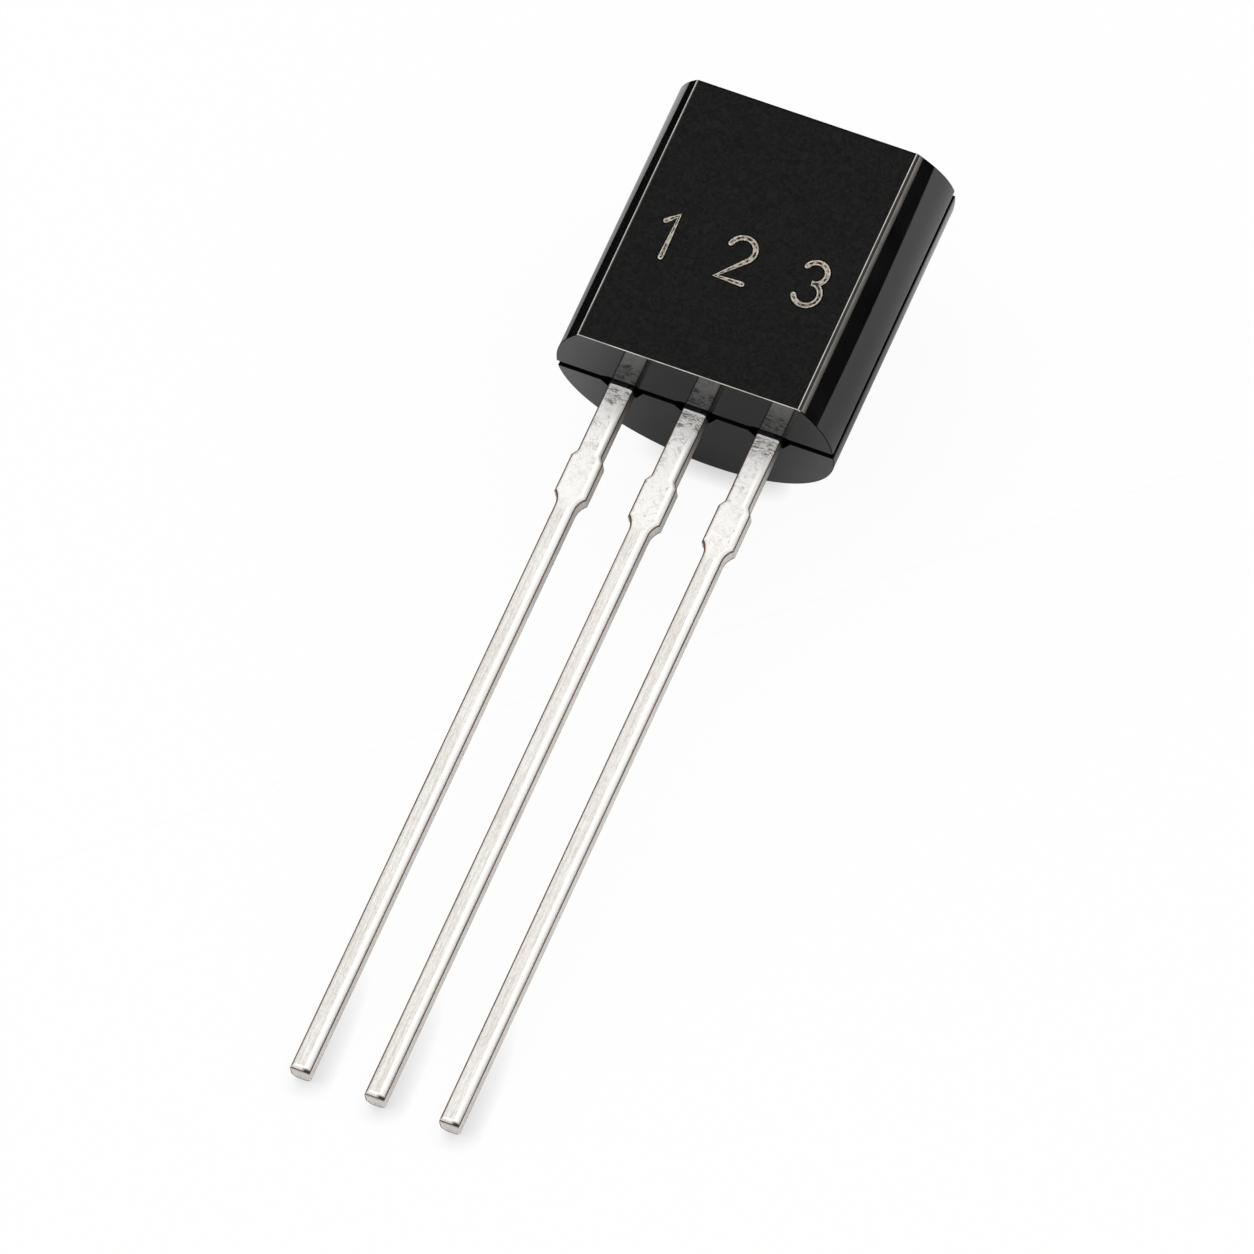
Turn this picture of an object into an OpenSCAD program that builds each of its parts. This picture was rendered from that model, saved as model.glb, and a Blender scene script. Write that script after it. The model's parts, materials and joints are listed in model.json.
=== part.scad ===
// Three-lead transistor in the TO-92 outline: a black epoxy body moulded round
// a stamped lead frame, with the chip and its two bond wires sealed inside.
// It lies as it comes to rest, on its round back with the lead tips touching
// the surface and the flat looking up. X runs across the leads from the emitter
// to the collector, and -Y points along the leads to their tips.

/* [Body] */
// Diameter of the round back, which is also the width of the body
body_d = 4.76; // [4.4:0.02:5.2]
// Height of the body along the leads, measured at the parting line
body_h = 5; // [4.5:0.05:5.4]
// Depth of the front half, from the parting line to the flat
front_d = 1.28; // [1:0.02:1.6]
// Width of the flat
flat_w = 3.8; // [3.4:0.02:4.2]
// Radius of the sides, from the flat to the parting line
side_r = 1.8; // [1.4:0.05:2.6]
// Draft of the top end of the front half, in degrees
top_draft = 6; // [0:0.5:10]
// Draft of the bottom end of the front half, in degrees
bottom_draft = 1; // [0:0.5:5]
// Draft of both ends of the back half, in degrees
back_draft = 4.5; // [0:0.5:8]

/* [Parting line] */
// Width of the groove that runs round the body at the parting line
groove_w = 0.14; // [0.06:0.01:0.24]
// Depth of that groove
groove_depth = 0.08; // [0.04:0.01:0.16]
// Room in front of each lead where it leaves the body
pocket_front = 0.14; // [0.08:0.01:0.2]
// Room beside each lead where it leaves the body
pocket_side = 0.16; // [0.06:0.01:0.2]
// Depth of the pocket round each lead
pocket_depth = 0.13; // [0.06:0.01:0.25]

/* [Leads] */
// Distance between the centres of neighbouring leads
pitch = 1.27; // [1.15:0.01:1.39]
// Thickness of the strip that the leads are stamped from
lead_t = 0.38; // [0.3:0.01:0.5]
// Length of the leads below the body
lead_l = 12.7; // [6:0.1:16]
// Width of the long lower part of a lead
lead_w = 0.34; // [0.28:0.01:0.5]
// Step from the side of the lower part out to the side of the dam-bar stub
stub_step = 0.105; // [0.06:0.005:0.15]
// Width of a lead between the body and the dam-bar stub
neck_w = 0.42; // [0.34:0.01:0.5]
// Length of a lead between the body and the dam-bar stub
neck_l = 1.28; // [0.8:0.02:2]
// Length of the straight part of the stub left where the dam bar was cut away
stub_l = 0.69; // [0.3:0.01:1]
// Length of the slope from the neck out to the stub
shoulder_l = 0.1; // [0.04:0.01:0.3]
// Length of the hollow curve from the stub to the lower part
taper_l = 0.22; // [0.16:0.01:0.4]
// Step left by the shear cut at the lower corners of the stub
shear_step = 0.015; // [0.01:0.005:0.03]

/* [Lead frame inside the body] */
// Length of the narrow stems between the body's end and the flags
stem_l = 0.95; // [0.7:0.05:1.2]
// Resin left between the flags and the sides of the body
side_wall = 0.55; // [0.4:0.05:0.7]
// Width of the base flag
base_flag_w = 1.14; // [0.9:0.02:1.3]
// Gap between neighbouring flags
flag_gap = 0.28; // [0.2:0.02:0.36]
// Height of the emitter flag
emitter_flag_h = 2.3; // [1.8:0.05:2.8]
// Height of the base flag
base_flag_h = 0.85; // [0.6:0.05:1]
// Height of the chip pad at the top of the collector lead
pad_h = 1.7; // [1.2:0.05:1.8]
// Radius of the notches that lock the flags in the resin
lock_r = 0.14; // [0.08:0.01:0.2]

/* [Chip and bonds] */
// Side of the square chip
chip_w = 0.46; // [0.3:0.02:0.6]
// Thickness of the chip
chip_t = 0.2; // [0.1:0.01:0.3]
// Thickness of the layer that bonds the chip to its pad
attach_t = 0.03; // [0.02:0.005:0.05]
// Width of that layer beyond the chip, on each side
attach_rim = 0.05; // [0.02:0.01:0.1]
// Distance from the free side of the pad to the chip
chip_edge = 0.28; // [0.15:0.01:0.4]
// Diameter of the bond wires
wire_d = 0.04; // [0.025:0.005:0.05]
// Rise of a bond wire above the straight line between its ends
wire_rise = 0.42; // [0.25:0.01:0.5]
// Diameter of the ball where a wire starts on the chip
ball_d = 0.11; // [0.08:0.01:0.14]

/* [Hidden] */
$fn = 64;

body_r = body_d / 2;
spare = 1;                          // how far cutting shapes run past the solid

// The parting line lies at the front face of the lead frame.
part_y = -lead_t / 2;
flat_y = part_y - front_d;
back_y = part_y + body_r;
back_rise = body_r * tan(back_draft);

// Centre of a side's arc, which runs from the flat's edge to the parting line.
side_from = [flat_w / 2, -front_d];
side_to = [body_r, 0];
side_chord = norm(side_to - side_from);
side_dir = (side_to - side_from) / side_chord;
side_mid = (side_from + side_to) / 2;
side_c = side_mid + sqrt(side_r * side_r - side_chord * side_chord / 4) * [-side_dir.y, side_dir.x];

// The part rests on the lower edge of its back and on the tips of its leads.
tilt = atan((back_y - lead_t / 2) / (back_rise + lead_l));
function lying_y(y, z) = z * cos(tilt) + y * sin(tilt);
function lying_z(y, z) = z * sin(tilt) - y * cos(tilt);
far_y = max(lying_y(part_y, body_h), lying_y(back_y, body_h - back_rise));
near_y = lying_y(-lead_t / 2, -lead_l);
floor_z = lying_z(lead_t / 2, -lead_l);

// Places on the lead frame, as distances across and above the body's lower end.
flag_in = base_flag_w / 2 + flag_gap;
flag_out = body_r - side_wall;
pad_z = stem_l + base_flag_h + flag_gap;
pad_x = flag_gap - base_flag_w / 2;
chip_x = pad_x + chip_edge + chip_w / 2;
chip_z = pad_z + pad_h / 2;
bond_inset = 0.3;                   // from a flag's edges to its bond
wire_sides = 8;                     // the bonds are too fine to need a true circle
ball_sides = 12;
stitch_l = 0.14;
stitch_t = wire_d + 0.01;
ball_t = wire_d + 0.02;
chip_bond = chip_w / 5;             // from the chip's centre to each ball
chip_top = attach_t + chip_t;

// Turns the upright transistor on its back and sets it on the surface.
module lie() {
    translate([0, -(far_y + near_y) / 2, -floor_z])
        rotate([tilt - 90, 0, 0])
            children();
}

// Everything on the inner side of one curved side of the front half.
module within_side() {
    translate(side_c)
        circle(r = side_r);
    translate([-2 * body_d, -2 * body_d])
        square([2 * body_d + side_c.x, 4 * body_d]);
}

// Outline of the body seen along the leads.
module plan() {
    translate([0, part_y]) {
        intersection() {
            circle(r = body_r);
            translate([-body_d, 0])
                square([2 * body_d, body_d]);
        }
        intersection() {
            translate([-body_d, -front_d])
                square([2 * body_d, front_d]);
            within_side();
            mirror([1, 0])
                within_side();
        }
    }
}

// Outline of the body seen from the side, with the draft of its ends.
module profile() {
    polygon([
        [part_y, 0],
        [back_y, back_rise],
        [back_y, body_h - back_rise],
        [part_y, body_h],
        [flat_y, body_h - front_d * tan(top_draft)],
        [flat_y, front_d * tan(bottom_draft)]
    ]);
}

// The groove round the body at the parting line.
module groove() {
    difference() {
        translate([-body_r - spare, part_y - groove_w / 2, -spare])
            cube([body_d + 2 * spare, groove_w, body_h + 2 * spare]);
        translate([-body_r + groove_depth, part_y - groove_w, groove_depth])
            cube([body_d - 2 * groove_depth, 2 * groove_w, body_h - 2 * groove_depth]);
    }
}

// The pocket round a lead where it leaves the body: square in front of the
// lead, and beside it narrowing towards the lead's back face.
module pocket() {
    front = -lead_t / 2 - pocket_front;
    wide = neck_w / 2 + pocket_side;
    translate([0, 0, -spare])
        linear_extrude(spare + pocket_depth)
            polygon([
                [-neck_w / 2, front],
                [neck_w / 2, front],
                [wide, part_y - groove_w / 2],
                [wide, part_y + groove_w / 2],
                [neck_w / 2, lead_t / 2],
                [-neck_w / 2, lead_t / 2],
                [-wide, part_y + groove_w / 2],
                [-wide, part_y - groove_w / 2]
            ]);
}

// Half of the hollow curve between the stub and the lower part of a lead. It
// stops short of the stub's side, which leaves the small step of the shear cut.
module taper_side() {
    step = stub_step - shear_step;
    hollow_r = (step * step + taper_l * taper_l) / (2 * step);
    difference() {
        square([lead_w / 2 + stub_step, taper_l]);
        translate([lead_w / 2 + hollow_r, 0])
            circle(r = hollow_r);
    }
}

// A lead's outline up to its flag, drawn across and up.
module lead_outline() {
    stub_x = lead_w / 2 + stub_step;
    stub_z = -neck_l - shoulder_l;
    taper_z = stub_z - stub_l;
    polygon([
        [-neck_w / 2, stem_l],
        [-neck_w / 2, -neck_l],
        [-stub_x, stub_z],
        [-stub_x, taper_z],
        [stub_x, taper_z],
        [stub_x, stub_z],
        [neck_w / 2, -neck_l],
        [neck_w / 2, stem_l]
    ]);
    translate([0, taper_z - taper_l]) {
        taper_side();
        mirror([1, 0])
            taper_side();
    }
    translate([-lead_w / 2, -lead_l])
        square([lead_w, lead_l + taper_z]);
}

// A stamped outline at its place in the frame.
module stamped() {
    rotate([90, 0, 0])
        linear_extrude(lead_t, center = true)
            children();
}

module emitter_outline() {
    translate([-pitch, 0])
        lead_outline();
    difference() {
        translate([-flag_out, stem_l])
            square([flag_out - flag_in, emitter_flag_h]);
        translate([-flag_out, stem_l + emitter_flag_h / 2])
            circle(r = lock_r);
    }
}

module base_outline() {
    lead_outline();
    difference() {
        translate([-base_flag_w / 2, stem_l])
            square([base_flag_w, base_flag_h]);
        for (side = [-1, 1])
            translate([side * base_flag_w / 2, stem_l + base_flag_h / 2])
                circle(r = lock_r);
    }
}

module collector_outline() {
    translate([pitch, 0])
        lead_outline();
    difference() {
        union() {
            translate([flag_in, stem_l])
                square([flag_out - flag_in, pad_z + pad_h - stem_l]);
            translate([pad_x, pad_z])
                square([flag_out - pad_x, pad_h]);
        }
        for (z = [(stem_l + pad_z) / 2, pad_z + pad_h / 2])
            translate([flag_out, z])
                circle(r = lock_r);
    }
}

// A bond wire in one arc, from a ball to a stitch. Each end is given across,
// up, and out from the front face of the frame.
module bond_wire(from, to) {
    run = [to.x - from.x, to.y - from.y];
    start = from.z + ball_t / 2;
    end = to.z + stitch_t / 2;
    chord = norm([norm(run), end - start]);
    sweep = 4 * atan(2 * wire_rise / chord);
    loop_r = chord / 2 / sin(sweep / 2);
    heading = atan2(run.y, run.x);
    translate([from.x, part_y - start, from.y])
        rotate([0, -heading, 0])
            rotate([180, 0, atan2(start - end, norm(run))])
                translate([chord / 2, -loop_r * cos(sweep / 2), 0])
                    rotate([0, 0, 90 - sweep / 2])
                        rotate_extrude(angle = sweep)
                            translate([loop_r, 0])
                                circle(d = wire_d, $fn = wire_sides);
    translate([from.x, part_y - from.z, from.y])
        rotate([90, 0, 0])
            cylinder(d = ball_d, h = ball_t, $fn = ball_sides);
    translate([to.x, part_y - to.z, to.y])
        rotate([0, -heading, 0])
            translate([-stitch_l / 2, -stitch_t, -wire_d])
                cube([stitch_l, stitch_t, 2 * wire_d]);
}

module emitter_bond() {
    bond_wire([chip_x - chip_bond, chip_z + chip_bond, chip_top],
              [-flag_in - bond_inset, chip_z - bond_inset, 0]);
}

module base_bond() {
    bond_wire([chip_x + chip_bond, chip_z - chip_bond, chip_top],
              [chip_x, stem_l + base_flag_h - bond_inset, 0]);
}

// A square plate on the chip pad, from one height above the pad to another.
module on_pad(w, low, high) {
    translate([chip_x - w / 2, part_y - high, chip_z - w / 2])
        cube([w, high - low, w]);
}

module attach_block() {
    on_pad(chip_w + 2 * attach_rim, 0, attach_t);
}

module chip_block() {
    on_pad(chip_w, attach_t, chip_top);
}

module body() {
    color("#26282b")
        lie()
            difference() {
                intersection() {
                    linear_extrude(body_h)
                        plan();
                    rotate([90, 0, 90])
                        linear_extrude(body_d + 2 * spare, center = true)
                            profile();
                }
                groove();
                for (x = [-pitch, 0, pitch])
                    translate([x, 0, 0])
                        pocket();
                stamped() emitter_outline();
                stamped() base_outline();
                stamped() collector_outline();
                attach_block();
                chip_block();
                emitter_bond();
                base_bond();
            }
}

module emitter_lead() {
    color("#dcdad6")
        lie() stamped() emitter_outline();
}

module base_lead() {
    color("#dcdad6")
        lie() stamped() base_outline();
}

module collector_lead() {
    color("#dcdad6")
        lie() stamped() collector_outline();
}

module die_attach() {
    color("#b9b6ac")
        lie() attach_block();
}

module chip() {
    color("#4a5068")
        lie() chip_block();
}

module emitter_wire() {
    color("#d9a940")
        lie() emitter_bond();
}

module base_wire() {
    color("#d9a940")
        lie() base_bond();
}

body();
emitter_lead();
base_lead();
collector_lead();
die_attach();
chip();
emitter_wire();
base_wire();
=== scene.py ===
import json
from math import asin, atan, cos, degrees, pi, radians, sin, sqrt, tan

import bmesh
import bpy
from mathutils import Matrix, Vector

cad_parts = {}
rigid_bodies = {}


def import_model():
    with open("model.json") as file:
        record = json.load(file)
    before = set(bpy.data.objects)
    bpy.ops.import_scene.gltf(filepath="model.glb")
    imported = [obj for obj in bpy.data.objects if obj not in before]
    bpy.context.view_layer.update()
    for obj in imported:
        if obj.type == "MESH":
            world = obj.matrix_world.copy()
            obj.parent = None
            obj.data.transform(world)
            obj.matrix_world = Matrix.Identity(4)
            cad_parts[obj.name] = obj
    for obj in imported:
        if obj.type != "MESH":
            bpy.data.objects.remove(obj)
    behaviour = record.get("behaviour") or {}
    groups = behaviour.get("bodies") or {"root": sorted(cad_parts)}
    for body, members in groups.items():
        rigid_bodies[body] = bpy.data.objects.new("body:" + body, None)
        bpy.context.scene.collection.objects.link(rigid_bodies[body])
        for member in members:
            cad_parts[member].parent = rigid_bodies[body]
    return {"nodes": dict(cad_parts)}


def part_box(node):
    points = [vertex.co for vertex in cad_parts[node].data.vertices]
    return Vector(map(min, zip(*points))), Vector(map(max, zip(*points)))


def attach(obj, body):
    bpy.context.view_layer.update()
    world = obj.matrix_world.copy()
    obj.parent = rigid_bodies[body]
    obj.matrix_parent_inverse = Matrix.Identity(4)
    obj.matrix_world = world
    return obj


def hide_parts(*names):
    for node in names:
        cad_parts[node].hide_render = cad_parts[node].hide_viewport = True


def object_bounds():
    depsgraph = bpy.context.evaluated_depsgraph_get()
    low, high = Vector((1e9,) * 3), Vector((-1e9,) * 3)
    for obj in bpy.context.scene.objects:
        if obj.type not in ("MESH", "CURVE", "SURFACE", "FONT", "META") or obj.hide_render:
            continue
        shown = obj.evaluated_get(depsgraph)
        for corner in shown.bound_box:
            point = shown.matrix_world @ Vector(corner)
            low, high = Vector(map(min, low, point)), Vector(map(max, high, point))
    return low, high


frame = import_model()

# Lengths are in millimetres, on the transistor standing upright: x across the
# leads, y from the flat to the back, z up from the lower end of the body.
# lieDown() lays each finished mesh on its back, in metres. The stage is in metres.
cadLow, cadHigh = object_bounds()
scene = bpy.context.scene
scene.view_settings.view_transform = "Standard"
mm = 0.001
near = 1e-4                   # mm, points closer than this count as one

# What the pieces share.
shape = {
    "bodyDiameter": 4.76,
    "bodyHeight": 5.0,
    "frontDepth": 1.28,       # parting line to flat
    "flatWidth": 3.8,
    "sideRadius": 1.8,        # of the rounded sides, from the flat to the parting line
    "backDraft": 4.5,         # degrees, at both ends of the back half
    "stripThickness": 0.38,
    "pitch": 1.27,            # between the middles of the leads
    "leadLength": 12.7,
}
halfStrip = shape["stripThickness"] / 2
partingY = -halfStrip
flatY = partingY - shape["frontDepth"]
bodyRadius = shape["bodyDiameter"] / 2
backY = partingY + bodyRadius
tipZ = -shape["leadLength"]
leadX = {"emitter_lead": -shape["pitch"], "base_lead": 0, "collector_lead": shape["pitch"]}

# It rests on the lower edge of its back and on the tips of its leads.
lean = atan((backY - halfStrip)
            / (bodyRadius * tan(radians(shape["backDraft"])) + shape["leadLength"]))
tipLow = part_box("base_lead")[0]
tipAlong = shape["leadLength"] * cos(lean) + halfStrip * sin(lean)
tipBelow = shape["leadLength"] * sin(lean) + halfStrip * cos(lean)
lieMatrix = (
    Matrix.Translation((0, tipLow.y + mm * tipAlong, tipLow.z + mm * tipBelow))
    @ Matrix.Rotation(lean - pi / 2, 4, "X")
    @ Matrix.Scale(mm, 4)
)


def linear(hexColour):
    parts = [int(hexColour[i:i + 2], 16) / 255 for i in (1, 3, 5)]
    return tuple(c / 12.92 if c <= 0.04045 else ((c + 0.055) / 1.055) ** 2.4 for c in parts) + (1,)


white, black = linear("#ffffff"), linear("#000000")


def setEdges(bm, angle):
    # Smooth faces, with sharp edges above an angle in degrees.
    for edge in bm.edges:
        edge.smooth = edge.calc_face_angle(0) < radians(angle)
    for face in bm.faces:
        face.smooth = True


def asObject(bm, name):
    mesh = bpy.data.meshes.new(name)
    bm.to_mesh(mesh)
    bm.free()
    made = bpy.data.objects.new(name, mesh)
    scene.collection.objects.link(made)
    return made


def lieDown(piece, materials):
    # The finished mesh, laid on its back, with its object at the origin.
    piece.data.transform(lieMatrix)
    for material in materials:
        piece.data.materials.append(material)
    # Broad faces keep their own normals, so that their reflections stay straight.
    weighted = piece.modifiers.new("weighted normals", "WEIGHTED_NORMAL")
    weighted.keep_sharp = True
    weighted.weight = 100
    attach(piece, "root")
    return piece


def newMaterial(name):
    material = bpy.data.materials.new(name)
    material.use_nodes = True
    tree = material.node_tree
    return material, tree, tree.nodes["Principled BSDF"]


def addNode(tree, kind, links=(), **settings):
    # One node with its settings, and its inputs set to values or linked.
    node = tree.nodes.new(kind)
    for key, value in settings.items():
        setattr(node, key, value)
    for socket, value in links:
        if isinstance(value, bpy.types.NodeSocket):
            tree.links.new(value, node.inputs[socket])
        else:
            node.inputs[socket].default_value = value
    return node


def compute(tree, operation, first, second=0.0):
    return addNode(tree, "ShaderNodeMath", [(0, first), (1, second)], operation=operation).outputs[0]


def ramp(tree, value, low, high, lowTo=0.0, highTo=1.0, curve="LINEAR"):
    # The range from low to high becomes lowTo to highTo, and nothing goes past them.
    return addNode(tree, "ShaderNodeMapRange", [
        ("Value", value), ("From Min", low), ("From Max", high),
        ("To Min", lowTo), ("To Max", highTo)], interpolation_type=curve).outputs[0]


def blend(tree, share, first, second):
    return addNode(tree, "ShaderNodeMix", [
        (0, share), (6, first), (7, second)], data_type="RGBA").outputs[2]


def crossfade(tree, share, first, second):
    return addNode(tree, "ShaderNodeMix", [
        (0, share), (2, first), (3, second)], data_type="FLOAT").outputs[0]


def axis(tree, place, letter):
    return addNode(tree, "ShaderNodeSeparateXYZ", [(0, place)]).outputs[letter]


def noise(tree, place, scale, detail=2.0, rough=0.5, wave=0.0):
    # The scale is in cells to the millimetre, unless the place is stretched first.
    return addNode(tree, "ShaderNodeTexNoise", [
        ("Vector", place), ("Scale", scale), ("Detail", detail),
        ("Roughness", rough), ("Distortion", wave)]).outputs["Fac"]


def thinLine(tree, value, width, strength=1):
    # The lines along which a noise crosses its middle value.
    away = compute(tree, "ABSOLUTE", compute(tree, "SUBTRACT", value, 0.5))
    return ramp(tree, away, 0, width, strength, 0)


def tones(tree, value, first, second, low=0.0, high=1.0):
    # Runs from the first colour at low to the second at high.
    scale = addNode(tree, "ShaderNodeValToRGB", [("Fac", value)])
    for stop, position, colour in zip(scale.color_ramp.elements, (low, high), (first, second)):
        stop.position = position
        stop.color = linear(colour)
    return scale.outputs["Color"]


def bumpy(tree, shader, strength, height, inward=False):
    # Relief of a hundredth of a millimetre at most.
    bump = addNode(tree, "ShaderNodeBump", [
        ("Strength", strength), ("Distance", 0.01 * mm), ("Height", height)], invert=inward)
    tree.links.new(bump.outputs["Normal"], shader.inputs["Normal"])


def uprightPlace(tree):
    # Object coordinates turned back to millimetres on the upright transistor.
    place = addNode(tree, "ShaderNodeTexCoord")
    turn = addNode(tree, "ShaderNodeMapping", [
        ("Vector", place.outputs["Object"]),
        ("Location", lieMatrix.translation),
        ("Rotation", (lean - pi / 2, 0, 0)),
        ("Scale", (mm, mm, mm)),
    ], vector_type="TEXTURE")
    return turn.outputs["Vector"]


# Camera, floor and light.
view = {
    "target": (0.0701, 0.7407, 0.3011),   # mm, from the middle of the part's footprint
    "azimuth": 26.473,
    "elevation": 55.999,
    "roll": -3.247,
    "distance": 250,          # mm
    "lens": 453.92,
    "sensor": 36,
    "clip": (0.01, 20),
}
camera = bpy.data.objects.new("camera", bpy.data.cameras.new("camera"))
scene.collection.objects.link(camera)
camera.data.lens = view["lens"]
camera.data.sensor_width = view["sensor"]
camera.data.clip_start, camera.data.clip_end = view["clip"]
target = Vector((
    (cadLow.x + cadHigh.x) / 2 + mm * view["target"][0],
    (cadLow.y + cadHigh.y) / 2 + mm * view["target"][1],
    cadLow.z + mm * view["target"][2],
))
camera.matrix_world = (
    Matrix.Translation(target)
    @ Matrix.Rotation(radians(view["azimuth"]), 4, "Z")
    @ Matrix.Rotation(radians(90 - view["elevation"]), 4, "X")
    @ Matrix.Rotation(radians(view["roll"]), 4, "Z")
    @ Matrix.Translation((0, 0, mm * view["distance"]))
)
scene.camera = camera

stageSet = {
    "floorSize": 6.0,
    "floorPaint": "#f2f2f2",
    "cameraWhite": 0.94,      # share of the floor that shows as plain white
    "glossWhite": 0.05,       # the same in reflections
    "contactReach": 0.36,     # mm
    "contactLean": (-0.6, 0.25, 0.76),   # towards the light, so that the shade falls on the other side
    "contactOpen": (0.35, 0.97),         # share of open sky, from full shade to none
    "contactShade": 0.62,     # brightness in full shade under the body
    "tipShade": 0.74,         # and under the tips
    "tipZone": (0.001, 0.005),           # from the tips, where the one turns into the other
    "underPlace": (-0.0004, 0.003, 0),   # middle of the painted shadow that only reflections see on the floor under the body
    "underReach": (0.001, 0.0033),       # from there, fading out
    "underShade": 0.36,
    "besideReach": (0.0035, 0.012),      # the same painted shadow beside the body, from the middle to both sides
    "besideStart": (0.0035, 0.0055),     # and where along the part it comes in
    "besideShade": 0.55,
    "skyTop": 1.0,
    "skyLow": 0.02,
    "skyFade": (0.14, 0.34),  # sine of the height above the horizon
    "lampSize": 0.22,
    "lampPower": 0.095,       # W
    "lampPlace": (-0.09, 0.05, 0.26),
    "flags": {"flag_right": (15.5, 6.6), "flag_left": (-6.6, 3.4)},   # mm, place and height
    "flagLength": 0.06,
}


def lightShare(tree, cameraShare, glossShare):
    # How much plain white a surface shows to the camera and to reflections.
    path = addNode(tree, "ShaderNodeLightPath").outputs
    gloss = compute(tree, "ADD", path["Is Glossy Ray"], path["Is Transmission Ray"])
    gloss = compute(tree, "MULTIPLY", gloss, glossShare)
    return addNode(tree, "ShaderNodeMath", [
        (0, path["Is Camera Ray"]), (1, cameraShare), (2, gloss)],
        operation="MULTIPLY_ADD").outputs[0]


def mirroredPaper(tree, place):
    # Painted shadow: reflections alone see the paper painted darker close under the body and beside it, as
    # shade round any low part.
    offset = addNode(tree, "ShaderNodeVectorMath", [
        (0, place), (1, stageSet["underPlace"])], operation="DISTANCE").outputs["Value"]
    under = ramp(tree, offset, *stageSet["underReach"], 1 - stageSet["underShade"], 0, "SMOOTHSTEP")
    aside = compute(tree, "ABSOLUTE", axis(tree, place, "X"))
    aside = ramp(tree, aside, *stageSet["besideReach"], 1 - stageSet["besideShade"], 0)
    beside = ramp(tree, axis(tree, place, "Y"), *stageSet["besideStart"], 0, aside)
    gloss = addNode(tree, "ShaderNodeLightPath").outputs["Is Glossy Ray"]
    dark = compute(tree, "MULTIPLY", compute(tree, "MAXIMUM", under, beside), gloss)
    return blend(tree, dark, linear(stageSet["floorPaint"]), black)


def contactShadow(tree, place):
    # The paper darkens where something rests on it.
    away = addNode(tree, "ShaderNodeVectorMath", [(0, stageSet["contactLean"])], operation="NORMALIZE")
    openSky = addNode(tree, "ShaderNodeAmbientOcclusion", [
        ("Distance", mm * stageSet["contactReach"]), ("Normal", away.outputs[0])], samples=6)
    zone = [cadLow.y + offset for offset in stageSet["tipZone"]]
    shade = ramp(tree, axis(tree, place, "Y"), *zone, stageSet["tipShade"], stageSet["contactShade"])
    return ramp(tree, openSky.outputs["AO"], *stageSet["contactOpen"], shade, 1)


def makeFloor():
    material, tree, shader = newMaterial("paper sweep, matt white")
    # White paper: dead matt, so it takes a soft shadow and throws light back evenly.
    tree.nodes.remove(shader)
    place = addNode(tree, "ShaderNodeTexCoord").outputs["Object"]
    paint = addNode(tree, "ShaderNodeBsdfDiffuse", [("Color", mirroredPaper(tree, place))])
    glow = addNode(tree, "ShaderNodeEmission", [
        ("Color", white), ("Strength", contactShadow(tree, place))])
    mix = addNode(tree, "ShaderNodeMixShader", [
        (0, lightShare(tree, stageSet["cameraWhite"], stageSet["glossWhite"])),
        (1, paint.outputs[0]), (2, glow.outputs[0])])
    tree.links.new(mix.outputs[0], tree.nodes["Material Output"].inputs["Surface"])
    bm = bmesh.new()
    bmesh.ops.create_grid(bm, x_segments=1, y_segments=1, size=stageSet["floorSize"] / 2)
    bmesh.ops.translate(bm, vec=(0, 0, cadLow.z), verts=bm.verts)
    floor = asObject(bm, "floor")
    floor.data.materials.append(material)


def makeFlag(name, x, height):
    # A black card on edge that only reflections see: it draws the dark bands along the sides.
    material, _, shader = newMaterial("black card, matt " + name)
    shader.inputs["Base Color"].default_value = linear("#050505")
    shader.inputs["Roughness"].default_value = 1
    shader.inputs["Specular IOR Level"].default_value = 0
    bm = bmesh.new()
    bmesh.ops.create_grid(bm, x_segments=1, y_segments=1, size=0.5)
    bmesh.ops.scale(bm, vec=(mm * height, stageSet["flagLength"], 1), verts=bm.verts)
    bmesh.ops.rotate(bm, matrix=Matrix.Rotation(pi / 2, 3, "Y"), verts=bm.verts)
    bmesh.ops.translate(bm, vec=(mm * x, 0, mm * height / 2), verts=bm.verts)
    flag = asObject(bm, name)
    flag.data.materials.append(material)
    flag.visible_camera = False
    flag.visible_diffuse = False
    flag.visible_shadow = False
    flag.visible_transmission = False


def makeSky():
    world = bpy.data.worlds.new("studio")
    world.use_nodes = True
    scene.world = world
    tree = world.node_tree
    tree.nodes.clear()
    # A bright ceiling that fades out near the horizon.
    place = addNode(tree, "ShaderNodeTexCoord").outputs["Generated"]
    fade = ramp(tree, axis(tree, place, "Z"), *stageSet["skyFade"],
                stageSet["skyLow"], stageSet["skyTop"], "SMOOTHSTEP")
    seen = addNode(tree, "ShaderNodeLightPath").outputs["Is Camera Ray"]
    sky = addNode(tree, "ShaderNodeBackground", [
        ("Color", white), ("Strength", crossfade(tree, seen, fade, 1.0))])
    addNode(tree, "ShaderNodeOutputWorld", [("Surface", sky.outputs[0])])


def makeLamp():
    lamp = bpy.data.lights.new("softbox", "AREA")
    lamp.shape = "SQUARE"
    lamp.size = stageSet["lampSize"]
    lamp.energy = stageSet["lampPower"]
    softbox = bpy.data.objects.new("softbox", lamp)
    scene.collection.objects.link(softbox)
    softbox.location = stageSet["lampPlace"]
    softbox.rotation_euler = Vector(stageSet["lampPlace"]).to_track_quat("Z", "Y").to_euler()


makeFloor()
for name, (x, height) in stageSet["flags"].items():
    makeFlag(name, x, height)
makeSky()
makeLamp()
print("stage: floor, two cards, softbox and sky")

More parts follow.
